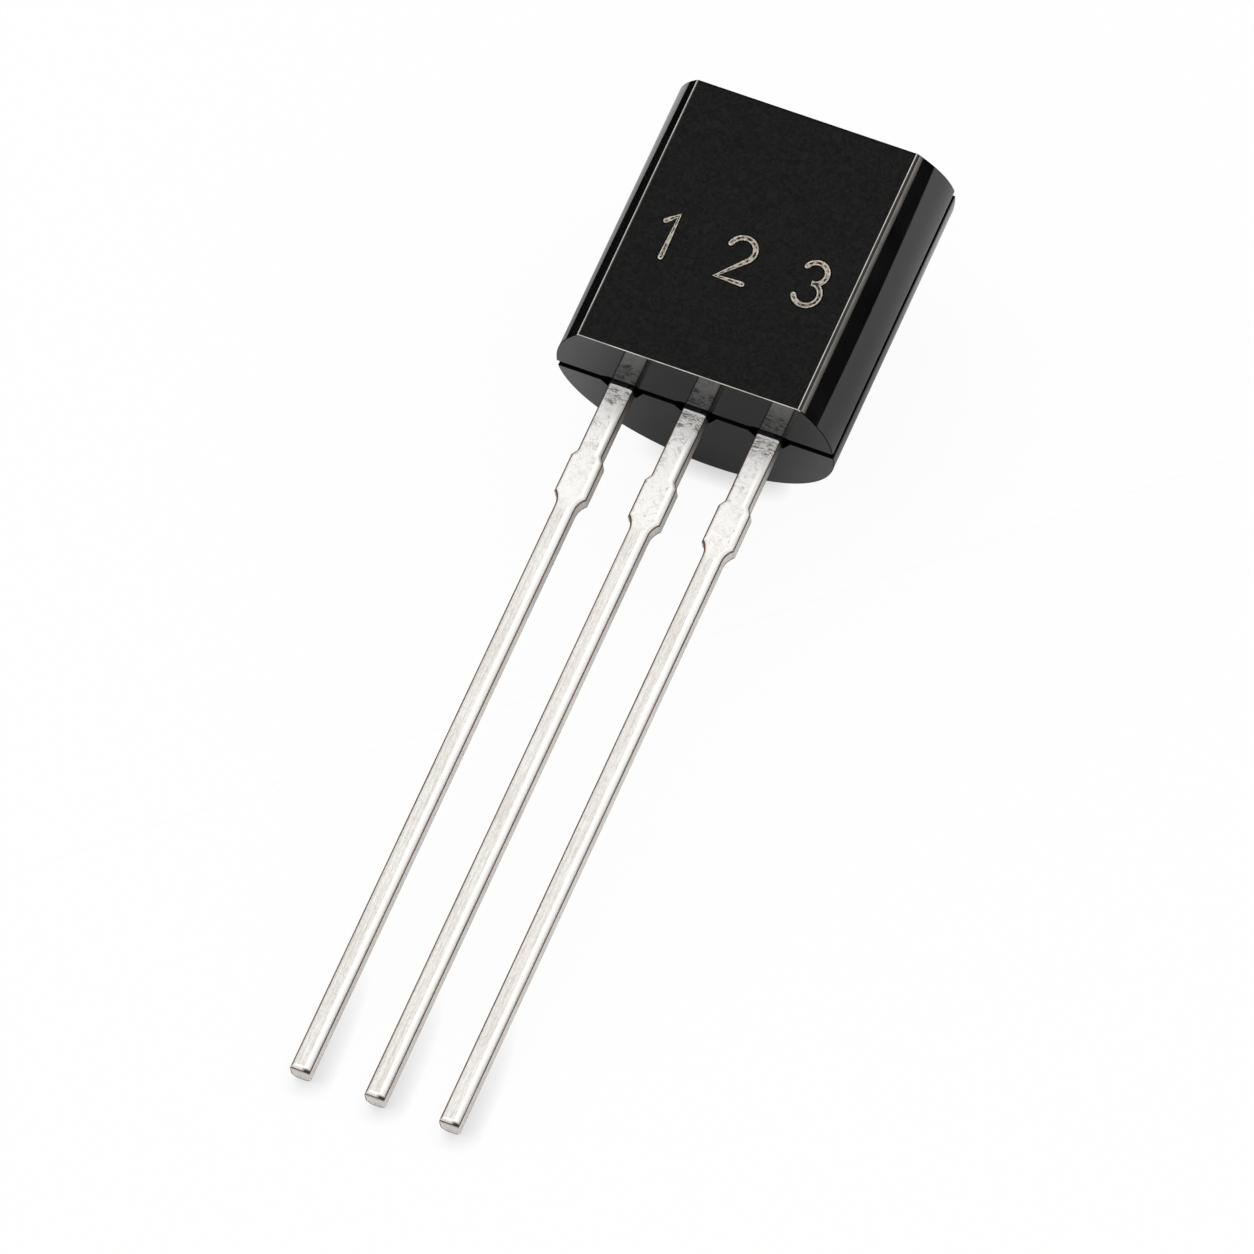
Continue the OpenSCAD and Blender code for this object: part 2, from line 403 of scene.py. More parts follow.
# The moulded body.
moulding = {
    "topDraft": 6,            # degrees
    "bottomDraft": 1,
    "grooveWidth": 0.16,
    "grooveDepth": 0.08,
    "pocketFront": 0.14,      # in front of the lead
    "pocketSide": 0.16,       # to each side of the neck
    "pocketDepth": 0.13,
    "neckWidth": 0.42,
    "flatEdge": 0.02,         # rounding along the two long edges of the flat
    "flatEdgeSteps": 4,
    "endEdge": 0.01,          # and of every other edge
    "endEdgeSteps": 2,
    "roundedFrom": 35,        # degrees between two faces from which their edge is rounded
    "sharpFrom": 28,          # and from which it is shaded sharp
    "sideSteps": 40,
    "backSteps": 144,
    "edgeLineReach": 0.1,          # pale edge lines of rubbed resin and painted highlight: behind the flat
    "edgeLineStart": 0.04,         # and from the lower end
    "deadLine": (0.05, 0.03), # from the far edge of the flat, where its dead black line comes in
}
farEdge = shape["bodyHeight"] - shape["frontDepth"] * tan(radians(moulding["topDraft"]))   # of the flat
grooveLip = moulding["grooveWidth"] / 2
# Pale lines along the long edges of the flat: distance outside the edge, and share of the pale colour.
# They are partly rubbed resin and partly a painted highlight where the rounded edge catches the light. The
# right one is a fine line, a gap, and a broader painted highlight that fades down the side.
rubsAndHighlights = {
    1: [(-0.027, 0), (-0.023, 1), (-0.013, 1), (-0.009, 0),
        (0.026, 0), (0.032, 0.42), (0.05, 0.3), (0.1, 0)],
    -1: [(-0.004, 0), (0, 1), (0.014, 0.9), (0.02, 0)],
}
glossy, satin, rubbed, paintedShade = range(4)     # the body's materials


def edgeWearAndHighlight(tree, place):
    # The share of the pale colour at each point, from the edge lines of rubbed resin and painted highlight.
    across = axis(tree, place, "X")
    edge = shape["flatWidth"] / 2
    masks = []
    for side, stops in rubsAndHighlights.items():
        start, end = stops[0][0], stops[-1][0]
        along = ramp(tree, across, side * (edge + start), side * (edge + end))
        line = addNode(tree, "ShaderNodeValToRGB", [("Fac", along)])
        marks = line.color_ramp.elements
        for offset, share in stops[1:-1]:
            mark = marks.new((offset - start) / (end - start))
            mark.color = (share, share, share, 1)
        marks[0].color = black
        marks[-1].color = black
        masks.append(line.outputs["Color"])
    patchy = ramp(tree, noise(tree, place, 3, 4), 0.3, 0.6, 0.7, 1)
    wornAndLit = compute(tree, "MULTIPLY", compute(tree, "ADD", *masks), patchy)
    # They keep to the flat's own edges, and stop at the roundings of both ends.
    limits = [("Y", flatY + moulding["edgeLineReach"], "LESS_THAN"), ("Z", moulding["edgeLineStart"], "GREATER_THAN"),
              ("Z", farEdge - moulding["endEdge"], "LESS_THAN")]
    for letter, limit, test in limits:
        here = compute(tree, test, axis(tree, place, letter), limit)
        wornAndLit = compute(tree, "MULTIPLY", wornAndLit, here)
    return wornAndLit


def withPaleEdgeLines(tree, base, wearAndHighlight):
    # The resin's own colour, with the pale edge lines of rubbed resin and painted highlight laid over it.
    return blend(tree, wearAndHighlight, base, linear("#d6d0c7"))


def glossyEpoxy():
    material, tree, shader = newMaterial("epoxy moulding compound, moulded in a polished cavity")
    # Black filled epoxy off a polished steel mould: near black in the shade, with clear
    # reflections that brighten towards the grazing sides, and faint flow marks.
    place = uprightPlace(tree)
    haze = noise(tree, place, 1.1, 3, 0.55)
    tone = tones(tree, haze, "#0d0d0e", "#161617", 0.35, 0.7)
    tree.links.new(withPaleEdgeLines(tree, tone, edgeWearAndHighlight(tree, place)), shader.inputs["Base Color"])
    # The resin's fronts met here and there, which shows as faint closed lines.
    flow = thinLine(tree, noise(tree, place, 0.9, 1, wave=0.4), 0.01, 0.09)
    shade = ramp(tree, haze, 0.3, 0.7, 0.02, 0.06)
    tree.links.new(compute(tree, "ADD", shade, flow), shader.inputs["Roughness"])
    return material


def satinEpoxy():
    material, tree, shader = newMaterial("epoxy moulding compound, moulded against a satin face")
    # The flat comes off a finely eroded cavity: an even, soft black with a barely visible grain.
    place = uprightPlace(tree)
    tone = tones(tree, noise(tree, place, 8, wave=2), "#070707", "#191918", 0.35, 0.7)
    # Its far edge is darkened to a dead black line.
    line = [farEdge - offset for offset in moulding["deadLine"]]
    base = blend(tree, ramp(tree, axis(tree, place, "Z"), *line), tone, linear("#020202"))
    tree.links.new(withPaleEdgeLines(tree, base, edgeWearAndHighlight(tree, place)), shader.inputs["Base Color"])
    shader.inputs["Roughness"].default_value = 0.42
    shader.inputs["Specular IOR Level"].default_value = 0.07
    bumpy(tree, shader, 0.25, noise(tree, place, 9, 3, wave=1.5))
    return material


def rubbedEdgeAndHighlight():
    material, tree, shader = newMaterial("epoxy moulding compound, rubbed edge with painted highlight")
    # Handling and tumbling polish the sharp edges; the thin light line along them is partly that rubbing
    # and partly a painted highlight.
    wearAndHighlight = noise(tree, uprightPlace(tree), 2.2, 4)
    tone = tones(tree, wearAndHighlight, "#a6a29b", "#ece7de", 0.3, 0.65)
    tree.links.new(tone, shader.inputs["Base Color"])
    shader.inputs["Roughness"].default_value = 0.5
    return material


def paintedShadeEpoxy():
    material, tree, shader = newMaterial("epoxy moulding compound, painted shade")
    # Painted shade in the groove where the two mould halves met, in the pockets and along the edges of both
    # ends: near black and without reflection, so the groove reads as a black line.
    torn = noise(tree, uprightPlace(tree), 14, 3)
    tree.links.new(tones(tree, torn, "#040404", "#0e0e0e"), shader.inputs["Base Color"])
    shader.inputs["Roughness"].default_value = 0.8
    shader.inputs["Specular IOR Level"].default_value = 0
    return material


def facesAt(bm, test):
    return [face for face in bm.faces if test(face.calc_center_median(), face.normal)]


def everything(bm):
    return list(bm.verts) + list(bm.edges) + list(bm.faces)


def cutEnd(bm, point, normal):
    # Trims the mesh beyond a plane and closes the cut.
    cut = bmesh.ops.bisect_plane(
        bm, geom=everything(bm), plane_co=point, plane_no=normal, clear_outer=True, dist=near)
    rim = [item for item in cut["geom_cut"] if isinstance(item, bmesh.types.BMEdge)]
    bmesh.ops.edgeloop_fill(bm, edges=rim)


def drawnFace(bm):
    # One face within the drawn outline.
    bmesh.ops.remove_doubles(bm, verts=bm.verts, dist=near)
    return bmesh.ops.edgeloop_fill(bm, edges=list(bm.edges))["faces"][0]


def pullUp(bm, face, height):
    pulled = bmesh.ops.extrude_face_region(bm, geom=[face])
    tops = [item for item in pulled["geom"] if isinstance(item, bmesh.types.BMVert)]
    bmesh.ops.translate(bm, vec=(0, 0, height), verts=tops)
    bmesh.ops.recalc_face_normals(bm, faces=bm.faces)


def draftEnds(bm, top, bottom):
    # Cuts both ends at their drafts, which are slopes of z against y.
    cutEnd(bm, (0, partingY, shape["bodyHeight"]), (0, top, 1))
    cutEnd(bm, (0, partingY, 0), (0, bottom, -1))


def makeFrontHalf():
    bm = bmesh.new()
    start = Vector((shape["flatWidth"] / 2, flatY, 0))
    chord = Vector((bodyRadius, partingY, 0)) - start
    # Centre of the side's arc, which runs from the flat's edge to the front lip of the groove.
    radius = shape["sideRadius"]
    aside = sqrt(radius ** 2 - chord.length ** 2 / 4)
    centre = start + chord / 2 + aside * Vector((-chord.y, chord.x, 0)).normalized()
    lipY = partingY - grooveLip
    lip = Vector((centre.x + sqrt(radius ** 2 - (lipY - centre.y) ** 2), lipY, 0))
    sweep = (start - centre).angle(lip - centre)
    right = bm.verts.new(start)
    bmesh.ops.spin(bm, geom=[right], cent=centre, axis=(0, 0, 1), angle=sweep,
                   steps=moulding["sideSteps"])
    bmesh.ops.mirror(bm, geom=list(bm.verts) + list(bm.edges), axis="X", merge_dist=near)
    # The flat and the parting face close the outline.
    for y in (flatY, lipY):
        bm.edges.new([v for v in bm.verts if abs(v.co.y - y) < near])
    pullUp(bm, drawnFace(bm), shape["bodyHeight"])
    draftEnds(bm, -tan(radians(moulding["topDraft"])), -tan(radians(moulding["bottomDraft"])))
    return bm


def makeBackHalf():
    bm = bmesh.new()
    start = asin(grooveLip / bodyRadius)
    right = bm.verts.new((bodyRadius * cos(start), partingY + grooveLip, 0))
    bmesh.ops.spin(bm, geom=[right], cent=(0, partingY, 0), axis=(0, 0, 1), angle=pi - 2 * start,
                   steps=moulding["backSteps"])
    bm.edges.new([v for v in bm.verts if abs(v.co.y - partingY - grooveLip) < near])
    pullUp(bm, drawnFace(bm), shape["bodyHeight"])
    slope = tan(radians(shape["backDraft"]))
    draftEnds(bm, slope, slope)
    return bm


def roundEdges(bm, edges, offset, segments):
    made = bmesh.ops.bevel(bm, geom=edges, offset=offset, offset_type="OFFSET", segments=segments,
                           profile=0.5, affect="EDGES", material=-1, clamp_overlap=False)
    bm.normal_update()
    return made["faces"]


def endFinish(face):
    # The edges of both ends get the painted shade, except under the flat, where they get the pale line of
    # rubbed resin and painted highlight.
    # The margins allow for the slopes of the ends.
    low = min(v.co.z for v in face.verts)
    high = max(v.co.z for v in face.verts)
    if high < 0.1 and max(v.co.y for v in face.verts) < flatY + 0.04:
        return rubbed
    atLowerEnd = high < 0.3 and face.normal.z < -0.2
    atFarEnd = low > shape["bodyHeight"] - 0.35 and face.normal.z > 0.2
    return paintedShade if atLowerEnd or atFarEnd else face.material_index


def grooveWalls(bm):
    # What faces the parting line on each half.
    return facesAt(bm, lambda c, n: abs(n.y) > 0.999 and abs(c.y - partingY) < moulding["grooveWidth"])


def makeBody():
    halves = [makeFrontHalf(), makeBackHalf()]
    front = halves[0]
    front.normal_update()
    for face in facesAt(front, lambda c, n: n.y < -0.99):
        face.material_index = satin
    longEdges = [e for e in front.edges if all(abs(v.co.y - flatY) < near for v in e.verts)
                 and e.verts[0].co.x * e.verts[1].co.x > 0]
    for face in roundEdges(front, longEdges, moulding["flatEdge"], moulding["flatEdgeSteps"]):
        face.material_index = glossy
    # Both halves are inset at the parting line and joined by the floor of the groove.
    bm = bmesh.new()
    for half in halves:
        half.normal_update()
        sharp = [e for e in half.edges if e.calc_face_angle(0) > radians(moulding["roundedFrom"])]
        for face in roundEdges(half, sharp, moulding["endEdge"], moulding["endEdgeSteps"]):
            face.material_index = endFinish(face)
        mesh = bpy.data.meshes.new("half")
        half.to_mesh(mesh)
        half.free()
        bm.from_mesh(mesh)
        bpy.data.meshes.remove(mesh)
    inner = grooveWalls(bm)
    bmesh.ops.inset_individual(bm, faces=inner, thickness=moulding["grooveDepth"], depth=0)
    # The walls and floor of the groove take the painted shade.
    for face in grooveWalls(bm):
        face.material_index = paintedShade
    rims = [e for face in inner for e in face.edges]
    bmesh.ops.delete(bm, geom=inner, context="FACES_ONLY")
    for face in bmesh.ops.bridge_loops(bm, edges=rims)["faces"]:
        face.material_index = paintedShade
    bmesh.ops.recalc_face_normals(bm, faces=bm.faces)
    if bm.calc_volume(signed=True) < 0:
        bmesh.ops.reverse_faces(bm, faces=bm.faces)
    return asObject(bm, "moulded_body")


def makePocketCutter(x):
    # The pocket in the lower end round one lead, square in front and narrowing to its back face.
    bm = bmesh.new()
    neck = moulding["neckWidth"] / 2
    wide = neck + moulding["pocketSide"]
    front = -halfStrip - moulding["pocketFront"]
    right = [(neck, front), (wide, partingY - grooveLip), (wide, partingY + grooveLip), (neck, halfStrip)]
    corners = [(-neck, front)] + right + [(-cx, cy) for cx, cy in reversed(right[1:])]
    start = -1                # well below the end
    face = bm.faces.new([bm.verts.new((x + cx, cy, start)) for cx, cy in corners])
    pullUp(bm, face, moulding["pocketDepth"] - start)
    # The pocket's walls take the painted shade.
    for side in bm.faces:
        side.material_index = paintedShade
    return asObject(bm, "cutter")


def carve(piece, cutters):
    # Boolean cuts, which become part of the mesh at once.
    for cutter in cutters:
        carving = piece.modifiers.new("pocket", "BOOLEAN")
        carving.operation = "DIFFERENCE"
        carving.solver = "EXACT"
        carving.material_mode = "INDEX"
        carving.object = cutter
    bpy.context.view_layer.update()
    carved = bpy.data.meshes.new_from_object(piece.evaluated_get(bpy.context.evaluated_depsgraph_get()))
    piece.modifiers.clear()
    bm = bmesh.new()
    bm.from_mesh(carved)
    setEdges(bm, moulding["sharpFrom"])
    bm.to_mesh(piece.data)
    bm.free()
    for cutter in cutters:
        bpy.data.objects.remove(cutter)


body = makeBody()
carve(body, [makePocketCutter(x) for x in leadX.values()])
lieDown(body, [glossyEpoxy(), satinEpoxy(), rubbedEdgeAndHighlight(), paintedShadeEpoxy()])
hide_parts("body")
print("body: both halves, groove and pockets")

marking = {
    "height": 0.78,
    "low": 1.75,              # from the lower end of the body to the feet of the numbers
    "halo": 0.068,            # half widths of the singed margin, the foamed stroke and its darker core
    "stroke": 0.047,
    "core": 0.021,
    "relief": 0.01,           # height of a stroke as a share of its width
    "arcSteps": 24,
    "endAngles": (5, 20, 40, 65),   # degrees round the end of a stroke
}
# The pins, each above its lead, as points and arcs (x, z, radius, from, to) in shares of the height.
numbers = {
    "1": [(0.12, 0.8), (0.34, 1), (0.34, 0)],
    "2": [(0.29, 0.72, 0.28, 165, -38), (0, 0), (0.58, 0)],
    "3": [(0.27, 0.755, 0.245, 155, -80), (0.27, 0.27, 0.27, 82, -155)],
}


def laserMark(name, light, dark, size):
    material, tree, shader = newMaterial(name)
    # The beam foams the resin in overlapping spots, which leaves a pale, dotted stroke.
    spots = addNode(tree, "ShaderNodeTexVoronoi", [
        ("Vector", uprightPlace(tree)), ("Scale", 1 / size), ("Randomness", 0.8)])
    tone = tones(tree, spots.outputs["Distance"], light, dark, 0.35, 0.7)
    tree.links.new(tone, shader.inputs["Base Color"])
    shader.inputs["Roughness"].default_value = 0.85
    shader.inputs["Specular IOR Level"].default_value = 0.1
    return material


def strokePath(parts):
    # The middle line of a number, with close points round its arcs.
    path = []
    for part in parts:
        if len(part) == 2:
            path.append(Vector(part))
            continue
        x, z, radius, start, end = part
        for step in range(marking["arcSteps"] + 1):
            turn = radians(start + (end - start) * step / marking["arcSteps"])
            path.append(Vector((x + radius * cos(turn), z + radius * sin(turn))))
    return [point * marking["height"] for point in path]


def roundEnd(end, inner, half):
    # Points and thicknesses from the very end of a stroke to its full width.
    out = (end - inner).normalized() * half
    return [(end + out * cos(radians(a)), sin(radians(a))) for a in marking["endAngles"]]


def writeNumber(number, x, layer, lift, material):
    # One round-ended band along the number's middle line, lifted just clear of the flat.
    name = "number_" + number + "_" + layer
    half = marking[layer]
    path = strokePath(numbers[number])
    points = roundEnd(path[0], path[1], half) + [(point, 1) for point in path]
    points += reversed(roundEnd(path[-1], path[-2], half))
    curve = bpy.data.curves.new(name, "CURVE")
    curve.dimensions = "3D"
    curve.bevel_depth = half
    curve.bevel_resolution = 1
    curve.use_fill_caps = True
    spline = curve.splines.new("POLY")
    spline.points.add(len(points) - 1)
    for made, (point, thick) in zip(spline.points, points):
        made.co = (point.x, point.y, 0, 1)
        made.radius = thick
    writing = bpy.data.objects.new(name, curve)
    scene.collection.objects.link(writing)
    bpy.context.view_layer.update()
    mesh = bpy.data.meshes.new_from_object(
        writing.evaluated_get(bpy.context.evaluated_depsgraph_get()))
    bpy.data.objects.remove(writing)
    middle = sum(point.x for point in path) / len(path)
    mesh.transform(Matrix.Translation((x - middle, flatY - lift, marking["low"]))
                   @ Matrix.Rotation(pi / 2, 4, "X")
                   @ Matrix.Diagonal((1, 1, marking["relief"], 1)))
    mesh.name = name
    mesh.materials.clear()
    piece = lieDown(bpy.data.objects.new(name, mesh), [material])
    scene.collection.objects.link(piece)


# Each layer's lift off the flat, and its material.
layers = {
    "halo": (0.0005, laserMark("epoxy, singed beside the laser stroke", "#010101", "#030303", 0.1)),
    "stroke": (0.0015, laserMark("epoxy, laser-foamed stroke", "#d9d1c3", "#a69d8f", 0.05)),
    "core": (0.0025, laserMark("epoxy, laser-foamed and dotted core", "#2a2723", "#b4ab9c", 0.075)),
}
for number, x in zip(numbers, leadX.values()):
    for layer, (lift, material) in layers.items():
        writeNumber(number, x, layer, lift, material)
print("marking: three numbers")

# The leads.
leadLook = {
    "frontRoll": (0.08, 8),   # rounding that the punch leaves on the front edges, and its steps
    "backRoll": (0.13, 4),    # the die side is rounder
    "rolledTo": 0.12,         # into the body
    "rolledFrom": 60,         # degrees between two faces from which their edge is rolled
    "sharpFrom": 32,          # and from which it is shaded sharp
    "bareLeft": 33,           # degrees round a roll from which the plating is worn thin
    "bareRight": 55,
    "bareBack": (95, 115),    # the same on the right back roll, from and to
    "sidesFrom": 80,
    "burnish": 0.04,          # smooth margin along the right edge and the tip
    "closeUp": 0.03,
    "cutRim": 0.018,          # round the cut at the tip
    "cutCorner": 0.13,        # from the middle of the lead to the rim's brighter right end
    "rootShade": 0.03,            # painted shade on the root of the lead, where it runs into the body
    "rootShadeFade": 0.004,
    # below it, a white rim that is a painted highlight
    "rim": 0.04,
    "highlightFade": 0.006,
    "darkReach": 1.1,             # how far from the body the sheared sides are darkened brown
    "scuff": 0.28,            # forming marks below the rim
    "ragged": 0.25,           # depth of their uneven end
    "tornEnd": (0.03, 0.065), # from the tip, where the torn corner fades out
    "tornFrom": (0.02, 0.08), # from the middle of the lead, where it comes in
    "dull": (-0.55, -0.3),    # heights between which the plating turns dull towards the body
    "paintedLighter": (-1.1, -0.35),  # and between which it is painted lighter, against the body's shade
    "marked": (-1.5, -1.2),   # and more marked
    "longPart": (-2.15, -2.45),   # and between which the marks turn into drawn lines
    "smoothFrom": (0.04, 0.08),   # from the middle of the lead to its burnished strip, which is painted lighter as a highlight
    "slack": 1e-3,            # by which the frame's own mesh may be off
}
scuffTone = linear("#8c8780")
plated, burnished, sheared, copper = range(4)     # the leads' materials


def streaks(tree, place, angle, across, along, detail=4, wave=0.0):
    # Noise drawn out to streaks of a given size in mm, in the plane of the strip.
    turned = addNode(tree, "ShaderNodeMapping", [
        ("Vector", place), ("Rotation", (0, radians(angle), 0)),
        ("Scale", (across, along, along))], vector_type="TEXTURE")
    return noise(tree, turned.outputs[0], 1, detail, 0.6, wave)


def rootOfLead(tree, high, tone, shader, highlighted=True):
    # Painted shade, as dark as the resin, on the first of the lead where it runs into the body, and below
    # it a painted highlight: a bright rim in front.
    rootShadeLow = -leadLook["rootShade"]
    if highlighted:
        highlightLow = rootShadeLow - leadLook["rim"]
        tone = blend(tree, ramp(tree, high, highlightLow - leadLook["highlightFade"], highlightLow), tone, white)
    rootShade = ramp(tree, high, rootShadeLow - leadLook["rootShadeFade"], rootShadeLow)
    tree.links.new(blend(tree, rootShade, tone, linear("#0a0a0a")), shader.inputs["Base Color"])


def acrossLead(tree, place):
    # Distance to the right of the middle of the lead.
    half = shape["pitch"] / 2
    return addNode(tree, "ShaderNodeMath", [
        (0, axis(tree, place, "X")), (1, half), (2, -half)], operation="WRAP").outputs[0]


def scuffMarks(tree, place, high):
    # The forming tool scuffs the face just below the body, in short crossing strokes.
    steep = ramp(tree, streaks(tree, place, 76, 0.02, 0.16, 2, 0.5), 0.54, 0.59)
    crossing = ramp(tree, streaks(tree, place, -66, 0.02, 0.12, 2, 0.5), 0.575, 0.625)
    strokes = compute(tree, "MAXIMUM", steep, crossing)
    uneven = compute(tree, "MULTIPLY", noise(tree, place, 6, 1), leadLook["ragged"])
    low = leadLook["ragged"] / 2 - leadLook["rootShade"] - leadLook["rim"] - leadLook["scuff"]
    patch = ramp(tree, compute(tree, "ADD", high, uneven), low - 0.03, low + 0.03)
    return compute(tree, "MULTIPLY", ramp(tree, strokes, 0, 1, 0.04, 1), patch)


def plainTin(name, dark, light, roughness, metallic, across=0.03, darkened=0.0, scuffs=False, torn=0.0):
    material, tree, shader = newMaterial(name)
    # Rubbed or sheared tin: smooth and drawn along the strip, without the mottle of the faces.
    place = uprightPlace(tree)
    drawn = ramp(tree, streaks(tree, place, 0, across, 0.7), 0.35, 0.65)
    tone = blend(tree, drawn, linear(dark), linear(light))
    high = axis(tree, place, "Z")
    metal = ramp(tree, high, *leadLook["dull"], metallic, 0.1)
    if darkened:
        # Darker and browner towards the body.
        tone = blend(tree, ramp(tree, high, -leadLook["darkReach"], 0, 0, darkened), tone, linear("#2a2420"))
    if scuffs:
        tone = blend(tree, scuffMarks(tree, place, high), tone, scuffTone)
    if torn:
        # The cut tears the plating off the right corner of the tip, down to the dull alloy.
        end = [tipZ + offset for offset in leadLook["tornEnd"]]
        bare = compute(tree, "MULTIPLY", ramp(tree, acrossLead(tree, place), *leadLook["tornFrom"]),
                       ramp(tree, high, *end, torn, 0))
        tone = blend(tree, bare, tone, linear("#241811"))
        metal = compute(tree, "MULTIPLY", metal, compute(tree, "SUBTRACT", 1, bare))
    rootOfLead(tree, high, tone, shader, highlighted=scuffs)
    tree.links.new(metal, shader.inputs["Metallic"])
    shader.inputs["Roughness"].default_value = roughness
    return material


def wormMarks(tree, place, high):
    # Worm marks about 0.06 mm apart, with blots and a few pits, and weaker away from the body.
    lines = compute(tree, "MULTIPLY", thinLine(tree, noise(tree, place, 6.5, wave=0.9), 0.05), 0.75)
    blots = ramp(tree, noise(tree, place, 10, wave=0.5), 0.52, 0.68, 0, 0.4)
    worm = compute(tree, "ADD", lines, blots)
    clouds = ramp(tree, noise(tree, place, 3, 3), 0.4, 0.6, 0.25, 1)
    for weaker in (clouds, ramp(tree, high, *leadLook["marked"], 0.6, 1)):
        worm = compute(tree, "MULTIPLY", worm, weaker)
    pits = addNode(tree, "ShaderNodeTexVoronoi", [("Vector", place), ("Scale", 4.5), ("Randomness", 1)])
    return compute(tree, "MAXIMUM", worm, ramp(tree, pits.outputs["Distance"], 0.06, 0.11, 0.8, 0))


def drawnMarks(tree, place):
    # On the long part the marks are drawn out along the lead.
    lines = ramp(tree, streaks(tree, place, 0, 0.03, 1.4, 2), 0.42, 0.6)
    broken = thinLine(tree, streaks(tree, place, 0, 0.06, 0.16, 2), 0.05)
    return compute(tree, "ADD", compute(tree, "MULTIPLY", lines, 0.35),
                   compute(tree, "MULTIPLY", broken, 0.35))


def mottledTin():
    material, tree, shader = newMaterial("tin plate on stamped copper strip, matt plated")
    # Matt tin: nearly white under a soft light, with the etched strip showing through it.
    place = uprightPlace(tree)
    high = axis(tree, place, "Z")
    longPart = ramp(tree, high, *leadLook["longPart"])
    mark = crossfade(tree, longPart, wormMarks(tree, place, high), drawnMarks(tree, place))
    # A broad strip along the right side of the long part is burnished smooth, without marks, and painted
    # lighter as a highlight.
    smooth = ramp(tree, acrossLead(tree, place), *leadLook["smoothFrom"])
    smooth = compute(tree, "MULTIPLY", smooth, longPart)
    mark = compute(tree, "MULTIPLY", mark, compute(tree, "SUBTRACT", 1, smooth))
    scuff = scuffMarks(tree, place, high)
    tone = linear("#efedea")
    # Close to the body the tone is painted lighter, against the body's shade.
    layered = [(ramp(tree, high, *leadLook["paintedLighter"]), linear("#fdfcfb")), (longPart, linear("#e6e4e0")),
               (smooth, linear("#f8f7f5")), (mark, linear("#b8aea2")), (scuff, scuffTone)]
    for share, colour in layered:
        tone = blend(tree, share, tone, colour)
    rootOfLead(tree, high, tone, shader)
    # Close to the body the plating is dull, and takes little of the body's reflection.
    tree.links.new(ramp(tree, high, *leadLook["dull"], 0.38, 0.08), shader.inputs["Metallic"])
    shader.inputs["Roughness"].default_value = 0.42
    bumpy(tree, shader, 0.4, compute(tree, "ADD", mark, scuff), inward=True)
    return material


leadMaterials = [
    mottledTin(),
    plainTin("tin plate, burnished margin", "#eeebe6", "#f6f4f0", 0.3, 0.5, scuffs=True, torn=1.0),
    plainTin("tin plate, sheared side", "#d3cfc9", "#e4e1dc", 0.3, 0.25, darkened=1.0),
    # The roll's lower part is rubbed down to the brown alloy under the tin.
    plainTin("copper alloy, plating rubbed thin", "#52331f", "#7a543a", 0.5, 0.1, 0.1,
             darkened=0.85, torn=0.8),
]


def leadFinish(face, front, margin, cutRims, middle):
    # Which of the leads' materials a face gets.
    centre = face.calc_center_median()
    turn = degrees(Vector((0, -1, 0)).angle(face.normal))     # away from the front
    backLow, backHigh = leadLook["bareBack"]
    if face in front:
        return plated
    if face in margin:
        # Only where it runs down the right side is the margin burnished.
        runsDown = any(e.calc_length() > 0.12 and abs(e.verts[0].co.z - e.verts[1].co.z) > 0.1
                       for e in face.edges)
        return burnished if runsDown and centre.x > middle else plated
    if face in cutRims:
        return sheared if centre.x > middle + leadLook["cutCorner"] else copper
    if backLow < turn < backHigh and face.normal.x > 0.1:
        return copper
    if turn > leadLook["sidesFrom"]:
        return sheared
    if turn > (leadLook["bareLeft"] if face.normal.x < -0.1 else leadLook["bareRight"]):
        return copper
    return burnished if face.normal.x > 0.05 or centre.z < tipZ + 0.1 else plated


def rollEdges(bm, side, roll, steps):
    # Rounds the long edges of the strip on one side, outside the body and just into it.
    deepest = leadLook["rolledTo"] + near
    edges = [e for e in bm.edges if e.calc_face_angle(0) > radians(leadLook["rolledFrom"])
             and all(abs(v.co.y - side) < leadLook["slack"] and v.co.z < deepest for v in e.verts)]
    if side > 0:
        # The back of the tip is cut off square, after the strip was rolled.
        edges = [e for e in edges if max(v.co.z for v in e.verts) > tipZ + 0.01]
    roundEdges(bm, edges, roll, steps)


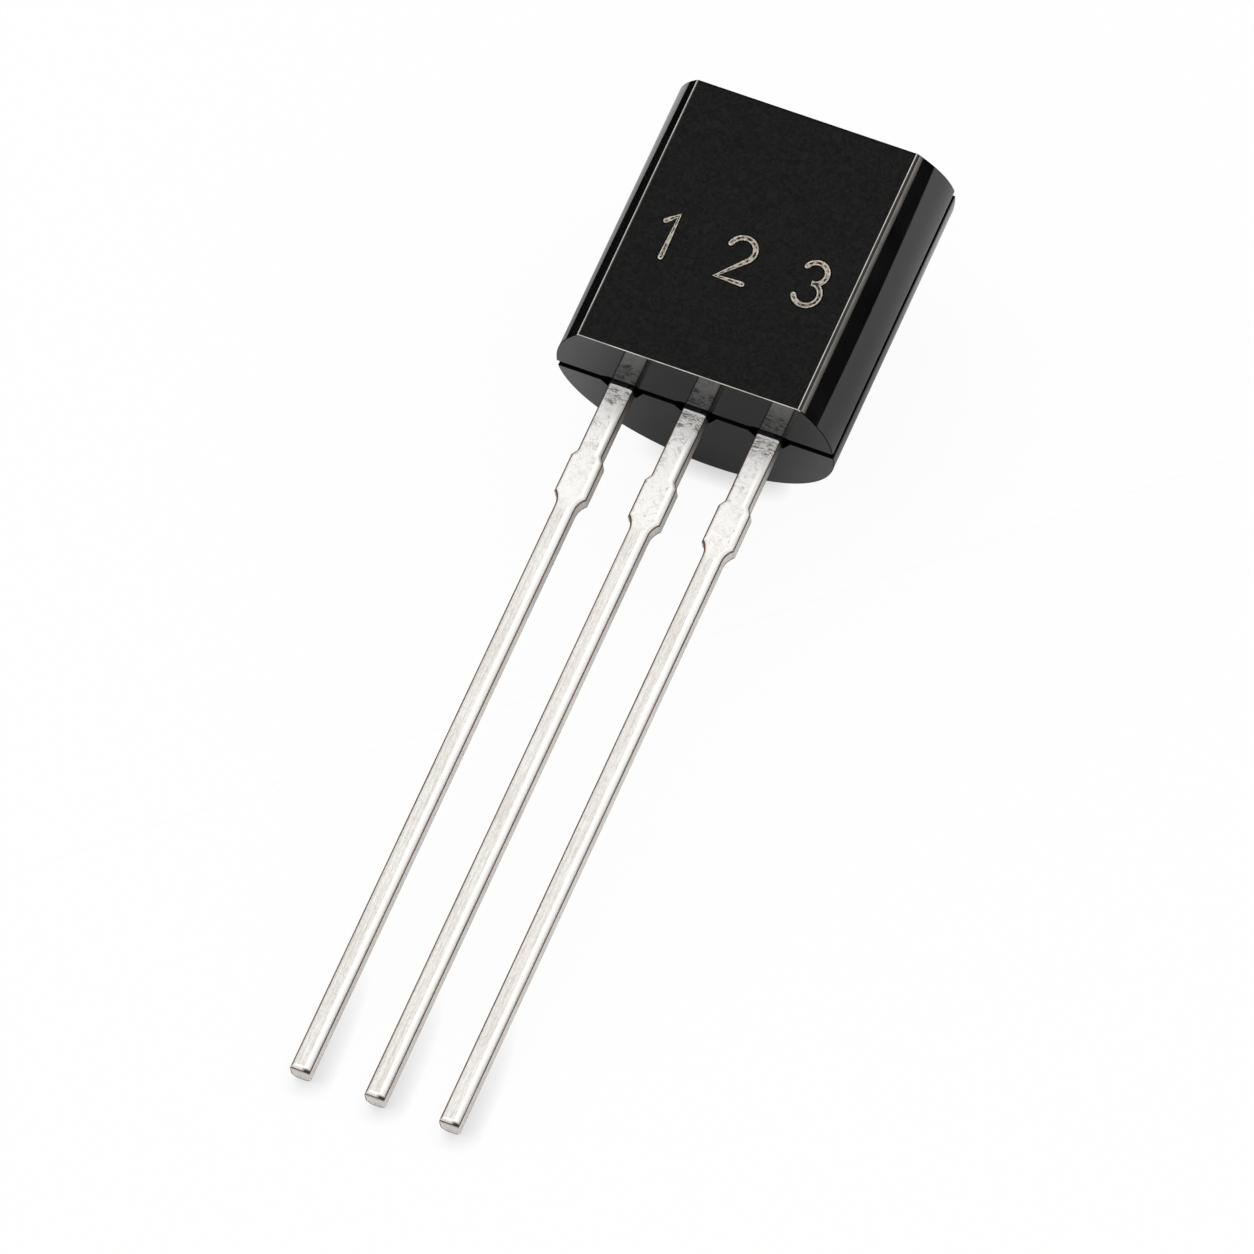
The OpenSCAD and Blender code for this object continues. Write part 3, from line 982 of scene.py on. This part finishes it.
def makeLead(node, name):
    # The frame's own stamping, merged and with its edges rolled.
    bm = bmesh.new()
    bm.from_mesh(frame["nodes"][node].data)
    bmesh.ops.transform(bm, matrix=lieMatrix.inverted(), verts=bm.verts)
    bmesh.ops.remove_doubles(bm, verts=bm.verts, dist=near)
    bmesh.ops.dissolve_limit(bm, angle_limit=radians(0.5), verts=bm.verts, edges=bm.edges)
    bm.normal_update()
    # What lies deeper in the resin stays as it is stamped.
    bmesh.ops.bisect_plane(bm, geom=everything(bm), plane_co=(0, 0, leadLook["rolledTo"]),
                           plane_no=(0, 0, 1), dist=near)
    bm.normal_update()
    rollEdges(bm, -halfStrip, *leadLook["frontRoll"])
    rollEdges(bm, halfStrip, *leadLook["backRoll"])
    bmesh.ops.recalc_face_normals(bm, faces=bm.faces)
    front = facesAt(bm, lambda c, n: n.y < -0.999 and abs(c.y + halfStrip) < leadLook["slack"]
                    and c.z < leadLook["rolledTo"])
    margin = bmesh.ops.inset_individual(bm, faces=front, thickness=leadLook["burnish"], depth=0)["faces"]
    # Corners that closed up in the offset outline become one.
    bmesh.ops.remove_doubles(bm, verts=[v for face in front for v in face.verts],
                             dist=leadLook["closeUp"])
    margin = [face for face in margin if face.is_valid]
    front = [face for face in front if face.is_valid]
    cutEnds = facesAt(bm, lambda c, n: n.z < -0.999 and c.z < tipZ + 0.01)
    cutRims = bmesh.ops.inset_individual(
        bm, faces=cutEnds, thickness=leadLook["cutRim"], depth=0)["faces"]
    bm.normal_update()
    for face in bm.faces:
        face.material_index = leadFinish(face, front, margin, cutRims, leadX[node])
    setEdges(bm, leadLook["sharpFrom"])
    piece = lieDown(asObject(bm, name), leadMaterials)
    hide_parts(node)


for node in leadX:
    makeLead(node, node.replace("_lead", "_strip"))
print("leads: three stampings with rolled edges")


def plainMetal(name, dark, light, roughness, metallic, scale):
    material, tree, shader = newMaterial(name)
    cloud = noise(tree, uprightPlace(tree), scale, 3)
    tree.links.new(tones(tree, cloud, dark, light), shader.inputs["Base Color"])
    shader.inputs["Metallic"].default_value = metallic
    shader.inputs["Roughness"].default_value = roughness
    return material


# The chip and its bonds, sealed inside.
# Drawn gold: warm and bright.
gold = plainMetal("gold wire, drawn", "#c98f2e", "#f0c25a", 0.25, 1, 12)
inside = {
    # Silver flakes in epoxy: a dull, grainy grey.
    "die_attach": plainMetal("silver-filled epoxy, cured", "#8f8b82", "#c9c5bb", 0.55, 0.6, 20),
    # Polished silicon with etched pads: a dark blue-grey mirror.
    "chip": plainMetal("silicon, polished and passivated", "#2b3040", "#5a6078", 0.15, 0.7, 8),
    "emitter_wire": gold,
    "base_wire": gold,
}
for node, material in inside.items():
    mesh = frame["nodes"][node].data
    mesh.materials.clear()
    mesh.materials.append(material)
print("chip, attach and bond wires: materials")
